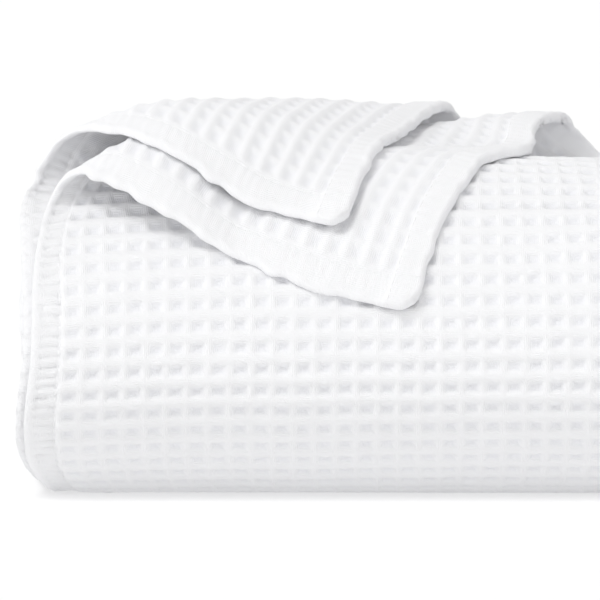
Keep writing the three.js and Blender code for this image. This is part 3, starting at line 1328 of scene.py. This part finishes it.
@dataclass(frozen=True)
class YarnGroup:
    """Shader group: the yarns, fuzz and ridges of the waffle weave, from places in its cells."""

    yarns: float = 11.0
    ridge_blend: float = 0.08
    twist: float = 150.0
    twist_share: float = 0.25
    fuzz: Triple = (9.0, 4.0, 0.6)  # scale, octaves, roughness
    fuzz_share: float = 0.25

    def build(self) -> NodeTree:
        """Makes the group.

        Returns:
            The group, which puts out a height in millimetres.
        """
        tree = bpy.data.node_groups.new("waffle_yarn", "ShaderNodeTree")
        graph = NodeGraph(tree)
        graph.socket("Cells", "Vector")
        graph.socket("Waffle Depth", "Float")
        graph.socket("Yarn Depth", "Float")
        graph.socket("Height", "Float", "OUTPUT")
        given = graph.node("NodeGroupInput").outputs
        split = graph.node("ShaderNodeSeparateXYZ", {0: given["Cells"]}).outputs
        near, waves, twists = [], [], []
        for axis in ("X", "Y"):
            off_middle = graph.math("SUBTRACT", graph.math("FRACT", split[axis]), 0.5)
            near.append(graph.math("MULTIPLY", graph.math("ABSOLUTE", off_middle), 2.0))
            turns = graph.math("MULTIPLY", split[axis], FULL_TURN * self.yarns)
            waves.append(graph.math("MULTIPLY_ADD", graph.math("SINE", turns), 0.5, 0.5))
            twists.append(graph.math("MULTIPLY", split[axis], self.twist))
        column, row = near
        ridge = graph.put("ShaderNodeMapRange", {
            "Value": graph.math("MAXIMUM", column, row),
        }, interpolation_type="SMOOTHSTEP")
        on_row = graph.put("ShaderNodeMapRange", {
            "Value": graph.math("SUBTRACT", row, column),
            "From Min": -self.ridge_blend,
            "From Max": self.ridge_blend,
        })
        twist = graph.math("SINE", graph.math("ADD", *twists))
        twist = graph.math("MULTIPLY_ADD", twist, self.twist_share, 0.5)
        wave = graph.put("ShaderNodeMix", {
            "Factor": on_row, 2: waves[0], 3: waves[1],
        }, data_type="FLOAT")
        yarn = graph.math("MULTIPLY", graph.math("ADD", wave, twist), given["Yarn Depth"])
        fuzz = graph.noise(given["Cells"], *self.fuzz)
        fuzzy = graph.math("MULTIPLY_ADD", fuzz, self.fuzz_share, yarn)
        coarse = graph.math("MULTIPLY", ridge, given["Waffle Depth"])
        graph.node("NodeGroupOutput", {"Height": graph.math("ADD", coarse, fuzzy)})
        return tree


@dataclass(frozen=True)
class CottonFinish:
    """White brushed cotton: yarns in the bump, painted shade a touch cooler and darker in the pits.
    """

    name: str
    waffle_depth: float
    ridge_colour: Triple = (0.94, 0.942, 0.968)
    # painted shade: the pits' darker, cooler colour, blended in over this range of the relief
    # attribute
    pit_shade_colour: Triple = (0.895, 0.9, 0.94)
    pit_to_ridge: Pair = (0.05, 0.75)
    mottle: Pair = (0.35, 3.0)  # scale, octaves
    mottled_tone: float = 0.25
    mottled_roughness: float = 0.08
    yarn_depth: float = 0.16
    roughness: float = 0.92
    sheen: float = 0.25
    sheen_roughness: float = 0.5
    specular: float = 0.2
    glow_through: float = 0.4
    glow_reach: float = 3.0

    def build(self, yarn: NodeTree) -> Material:
        """Makes the material.

        Args:
            yarn: the yarn group.

        Returns:
            The material.
        """
        material, graph = empty_material(self.name)
        cells = graph.put("ShaderNodeUVMap", uv_map="cloth")
        detail = graph.node("ShaderNodeGroup", node_tree=yarn)
        graph.tree.links.new(cells, detail.inputs["Cells"])
        detail.inputs["Waffle Depth"].default_value = self.waffle_depth
        detail.inputs["Yarn Depth"].default_value = self.yarn_depth
        # Painted shade: the relief attribute darkens and cools the pits, with random mottle on top.
        relief = graph.node("ShaderNodeAttribute", attribute_name="relief").outputs["Fac"]
        pit, ridge = self.pit_to_ridge
        shown = graph.put("ShaderNodeMapRange", {
            "Value": relief, "From Min": pit, "From Max": ridge,
        })
        mottle = graph.noise(cells, *self.mottle)
        uneven = graph.math("SUBTRACT", mottle, 0.5)
        mottle_and_pit_shade = graph.math("MULTIPLY_ADD", uneven, self.mottled_tone, shown)
        smoothest = self.roughness - self.mottled_roughness / 2
        graph.surface({
            "Base Color": graph.blend(mottle_and_pit_shade, self.pit_shade_colour, self.ridge_colour),
            "Roughness": graph.math("MULTIPLY_ADD", mottle, self.mottled_roughness, smoothest),
            "Normal": graph.put("ShaderNodeBump", {
                "Strength": 1.0, "Distance": MM, "Height": detail.outputs["Height"],
            }),
            "Sheen Weight": self.sheen,
            "Sheen Roughness": self.sheen_roughness,
            "Specular IOR Level": self.specular,
            "Subsurface Weight": self.glow_through,
            "Subsurface Radius": (1.0, 1.0, 1.0),
            "Subsurface Scale": self.glow_reach * MM,
        })
        return material


@dataclass(frozen=True)
class ThreadFinish:
    """White sewing thread, twisted along each stitch."""

    colour: Triple = (0.95, 0.95, 0.96)
    # painted shade: the thread's colour where its strands' bump is low
    shade: Triple = (0.88, 0.88, 0.9)
    strands: Pair = (1400.0, 2.0)  # scale, octaves
    strand_depth: float = 0.2
    bump: float = 0.6
    roughness: float = 0.7
    sheen: float = 0.2
    specular: float = 0.2

    def build(self) -> Material:
        """Makes the material.

        Returns:
            The material.
        """
        material, graph = empty_material("hem_thread")
        place = graph.node("ShaderNodeTexCoord").outputs["Object"]
        strands = graph.noise(place, *self.strands)
        graph.surface({
            # Painted shade: the thread is darker where the strands' bump is low.
            "Base Color": graph.blend(strands, self.shade, self.colour),
            "Roughness": self.roughness,
            "Normal": graph.put("ShaderNodeBump", {
                "Strength": self.bump, "Distance": self.strand_depth * MM, "Height": strands,
            }),
            "Sheen Weight": self.sheen,
            "Specular IOR Level": self.specular,
        })
        return material


@dataclass(frozen=True)
class StitchGroup:
    """Geometry Nodes group: stitches laid end to end along a line of edges."""

    seed: int = 7
    segments: int = 6
    rings: int = 4
    slack: Pair = (0.85, 1.15)

    def build(self) -> NodeTree:
        """Makes the group.

        Returns:
            The group, whose line carries its surface's normal as the attribute "out".
        """
        tree = bpy.data.node_groups.new("hem_stitches", "GeometryNodeTree")
        graph = NodeGraph(tree)
        graph.socket("Line", "Geometry")
        for name in ("Pitch", "Length", "Thickness"):
            graph.socket(name, "Float")
        graph.socket("Thread", "Material")
        graph.socket("Stitches", "Geometry", "OUTPUT")
        given = graph.node("NodeGroupInput").outputs
        curve = graph.put("GeometryNodeMeshToCurve", {"Mesh": given["Line"]})
        even = graph.put("GeometryNodeResampleCurve", {
            "Curve": curve, "Length": given["Pitch"],
        }, mode="LENGTH")
        out = graph.put("GeometryNodeInputNamedAttribute", {
            "Name": "out",
        }, data_type="FLOAT_VECTOR")
        turn = graph.put("FunctionNodeAxesToRotation", {
            0: graph.put("GeometryNodeInputTangent"), 1: out,
        }, primary_axis="X", secondary_axis="Z")
        shortest, longest = self.slack
        slack = graph.node("FunctionNodeRandomValue", {
            "Min": shortest, "Max": longest, "Seed": self.seed,
        }, data_type="FLOAT").outputs["Value"]
        size = graph.put("ShaderNodeCombineXYZ", {
            0: graph.math("MULTIPLY", given["Length"], slack),
            1: given["Thickness"],
            2: given["Thickness"],
        })
        bead = graph.put("GeometryNodeMeshUVSphere", {
            "Segments": self.segments, "Rings": self.rings, "Radius": 0.5,
        })
        laid = graph.put("GeometryNodeInstanceOnPoints", {
            "Points": even, "Instance": bead, "Rotation": turn, "Scale": size,
        })
        real = graph.put("GeometryNodeRealizeInstances", {0: laid})
        done = graph.put("GeometryNodeSetMaterial", {
            "Geometry": real, "Material": given["Thread"],
        })
        graph.node("NodeGroupOutput", {"Stitches": done})
        return tree


@dataclass(frozen=True)
class HemStitches:
    """The lines of stitches that hold the hems of the two turned-back corners."""

    cloth: Cloth
    inset: float = 13.6
    pitch: float = 4.2
    length: float = 3.3
    thickness: float = 0.75
    sunk: float = 0.1
    start: float = 3.0
    end_reach: float = 280.0
    nose_reach: float = 380.0
    step: float = 1.5
    slope_reach: float = 0.5

    def lines(self) -> list[tuple[Array, Array, bool]]:
        """Lists the lines of stitches.

        Returns:
            For each, the ways across and along the sheet, and whether it lies on the face.
        """
        far = self.cloth.section.end
        down = stops(self.start, self.nose_reach, self.step)
        across = stops(self.start, self.end_reach, self.step)
        by_side, by_end = np.full_like(down, self.inset), np.full_like(across, self.inset)
        return [
            (by_side, down, True),
            (by_side, down, False),
            (far - by_side, down, True),
            (across, by_end, False),
            (far - across, by_end, True),
        ]

    def on_cloth(self, weave: Weave, s: Array, w: Array, face: bool) -> Arrays:
        """Finds places on one side of the cloth.

        Args:
            weave: the cloth's weave.
            s: ways across the sheet.
            w: ways along it.
            face: whether it is the face or the back.

        Returns:
            The places, and the unit normals there.
        """
        shift = np.array([-self.slope_reach, 0.0, self.slope_reach])
        at = self.cloth.place(s + shift[:, None], w + shift[:, None, None])
        out = np.cross(at[2, 1] - at[0, 1], at[1, 2] - at[1, 0])
        out = out / np.linalg.norm(out, axis=-1, keepdims=True)
        face_offset, back_offset, _ = weave.offsets(s, w, 1.0)
        out, offset = (out, face_offset) if face else (-out, back_offset)
        return at[1, 1] + out * (offset - self.sunk)[:, None], out

    def line_mesh(self, weave: Weave) -> bpy.types.Mesh:
        """Makes the lines that the stitches follow.

        Args:
            weave: the cloth's weave.

        Returns:
            A mesh of edges, with the cloth's normals as the attribute "out".
        """
        places, outs, edges, count = [], [], [], 0
        for s, w, face in self.lines():
            at, out = self.on_cloth(weave, s, w, face)
            places.append(at * MM)
            outs.append(out)
            index = np.arange(count, count + len(s) - 1)
            edges.append(np.stack([index, index + 1], axis=-1))
            count += len(s)
        mesh = bpy.data.meshes.new("hem_line")
        mesh.from_pydata(np.concatenate(places).tolist(), np.concatenate(edges).tolist(), [])
        outward = mesh.attributes.new("out", "FLOAT_VECTOR", "POINT")
        outward.data.foreach_set("vector", np.concatenate(outs).ravel())
        return mesh

    def build(self, weave: Weave, group: NodeTree, thread: Material) -> Object:
        """Makes the stitches as one mesh.

        Args:
            weave: the cloth's weave.
            group: the stitch group.
            thread: the thread's finish.

        Returns:
            The object.
        """
        line = self.line_mesh(weave)
        piece = add_object("hem_stitches", line)
        modifier = piece.modifiers.new("stitches", "NODES")
        modifier.node_group = group
        values = {
            "Pitch": self.pitch * MM,
            "Length": self.length * MM,
            "Thickness": self.thickness * MM,
            "Thread": thread,
        }
        for item in group.interface.items_tree:
            if item.name in values:
                modifier[item.identifier] = values[item.name]
        seen = piece.evaluated_get(bpy.context.evaluated_depsgraph_get())
        made = bpy.data.meshes.new_from_object(seen)
        piece.modifiers.clear()
        piece.data = made
        made.name = "hem_stitches"
        bpy.data.meshes.remove(line)
        return piece


@dataclass(frozen=True)
class Floor:
    """A wide pale floor, a little darker close to the blanket."""

    radius: float = 30.0
    corners: int = 64
    near: Pair = (0.62, 0.36)  # shade, glow
    far: Pair = (0.42, 0.56)
    footprint: Pair = (185.0, 72.0)
    fade: float = 90.0
    mottle: Pair = (3.0, 2.0)  # scale, octaves
    mottled_shade: float = 0.004
    roughness: float = 0.8
    specular: float = 0.1

    def finish(self) -> Material:
        """Makes the floor's material, whose shade and glow change away from the blanket.

        Returns:
            The material.
        """
        material, graph = empty_material("pale_floor")
        place = graph.node("ShaderNodeTexCoord").outputs["Object"]
        split = graph.node("ShaderNodeSeparateXYZ", {0: place}).outputs
        outside = []
        for axis, half in zip("XY", self.footprint):
            beyond = graph.math("SUBTRACT", graph.math("ABSOLUTE", split[axis]), half * MM)
            outside.append(graph.math("POWER", graph.math("MAXIMUM", beyond, 0.0), 2.0))
        away = graph.math("SQRT", graph.math("ADD", *outside))
        fade = graph.put("ShaderNodeMapRange", {
            "Value": away, "From Max": self.fade * MM,
        }, interpolation_type="SMOOTHSTEP")
        shade, glow = (
            graph.math("MULTIPLY_ADD", fade, far - near, near)
            for near, far in zip(self.near, self.far)
        )
        mottle = graph.noise(place, *self.mottle)
        graph.surface({
            "Base Color": graph.math("MULTIPLY_ADD", mottle, self.mottled_shade, shade),
            "Emission Color": glow,
            "Emission Strength": 1.0,
            "Roughness": self.roughness,
            "Specular IOR Level": self.specular,
        })
        return material

    def build(self) -> Object:
        """Makes the floor.

        Returns:
            The floor's object.
        """
        mesh = bpy.data.meshes.new("floor")
        turns = np.linspace(0, FULL_TURN, self.corners + 1)[:-1]
        ring = [(self.radius * math.cos(a), self.radius * math.sin(a), 0.0) for a in turns]
        mesh.from_pydata(ring, [], [list(range(self.corners))])
        mesh.materials.append(self.finish())
        return add_object("floor", mesh)


@dataclass(frozen=True)
class Sun:
    """A distant, soft light with its strength, its width in degrees and the way to it."""

    name: str
    strength: float
    angle: float
    way: Triple

    def build(self) -> None:
        """Adds the light to the scene."""
        light = bpy.data.lights.new(self.name, "SUN")
        light.energy = self.strength
        light.angle = math.radians(self.angle)
        lamp = add_object(self.name, light)
        lamp.location = self.way
        lamp.rotation_euler = (-Vector(self.way)).to_track_quat("-Z", "Y").to_euler()


@dataclass(frozen=True)
class Studio:
    """White surroundings, a soft key light, a fill from the front and the camera."""

    surround: float = 0.64
    gamma: float = 1.28
    key: Sun = Sun("key", 1.48, 30.0, (-0.8, -0.66, 1.6))
    fill: Sun = Sun("fill", 0.42, 50.0, (-0.7, -1.0, 0.18))
    elevation: float = 4.0
    distance: float = 3.2
    frame_width: float = 285.7
    sensor: float = 36.0
    clip_end: float = 100.0
    centre: Triple = (-58.5, -105.4, 94.0)

    def light(self) -> None:
        """Adds the white surroundings and both lights."""
        scene = bpy.context.scene
        scene.world = bpy.data.worlds.new("surround")
        scene.world.use_nodes = True
        backdrop = scene.world.node_tree.nodes["Background"].inputs
        backdrop["Color"].default_value = (1.0, 1.0, 1.0, 1.0)
        backdrop["Strength"].default_value = self.surround
        scene.view_settings.view_transform = "Standard"
        scene.view_settings.gamma = self.gamma
        self.key.build()
        self.fill.build()

    def camera(self) -> None:
        """Adds the camera, in front of the bundle and looking a little down at it."""
        camera = bpy.data.cameras.new("camera")
        camera.sensor_width = self.sensor
        camera.lens = self.sensor * self.distance / (self.frame_width * MM)
        camera.clip_end = self.clip_end
        rise = math.radians(self.elevation)
        back = Vector((0.0, -math.cos(rise), math.sin(rise))) * self.distance
        view = add_object("camera", camera)
        view.location = Vector(self.centre) * MM + back
        view.rotation_euler = (-back).to_track_quat("-Z", "Y").to_euler()
        bpy.context.scene.camera = view


def main() -> None:
    logging.basicConfig(level=logging.INFO, format="%(message)s")
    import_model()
    cloth = Cloth()
    weave = Weave(cloth, Hem(cloth))
    yarn = YarnGroup().build()
    woven = CottonFinish("waffle_cotton", waffle_depth=0.0).build(yarn)
    packed = CottonFinish("packed_cotton", waffle_depth=1.6).build(yarn)
    split = BlanketPieces(cloth)
    layers = split.layers().build(weave, packed)
    detailed = [piece.build(weave, woven) for piece in split.detailed()]
    stitches = HemStitches(cloth).build(weave, StitchGroup().build(), ThreadFinish().build())
    detailed.append(stitches)
    for piece in (layers, *detailed):
        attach(piece, "root")
        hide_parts("blanket")
        triangles = sum(len(face.vertices) - 2 for face in piece.data.polygons)
        LOG.info("%s: %d triangles", piece.name, triangles)
    Floor().build()
    studio = Studio()
    studio.light()
    studio.camera()


if __name__ == "__main__":
    main()
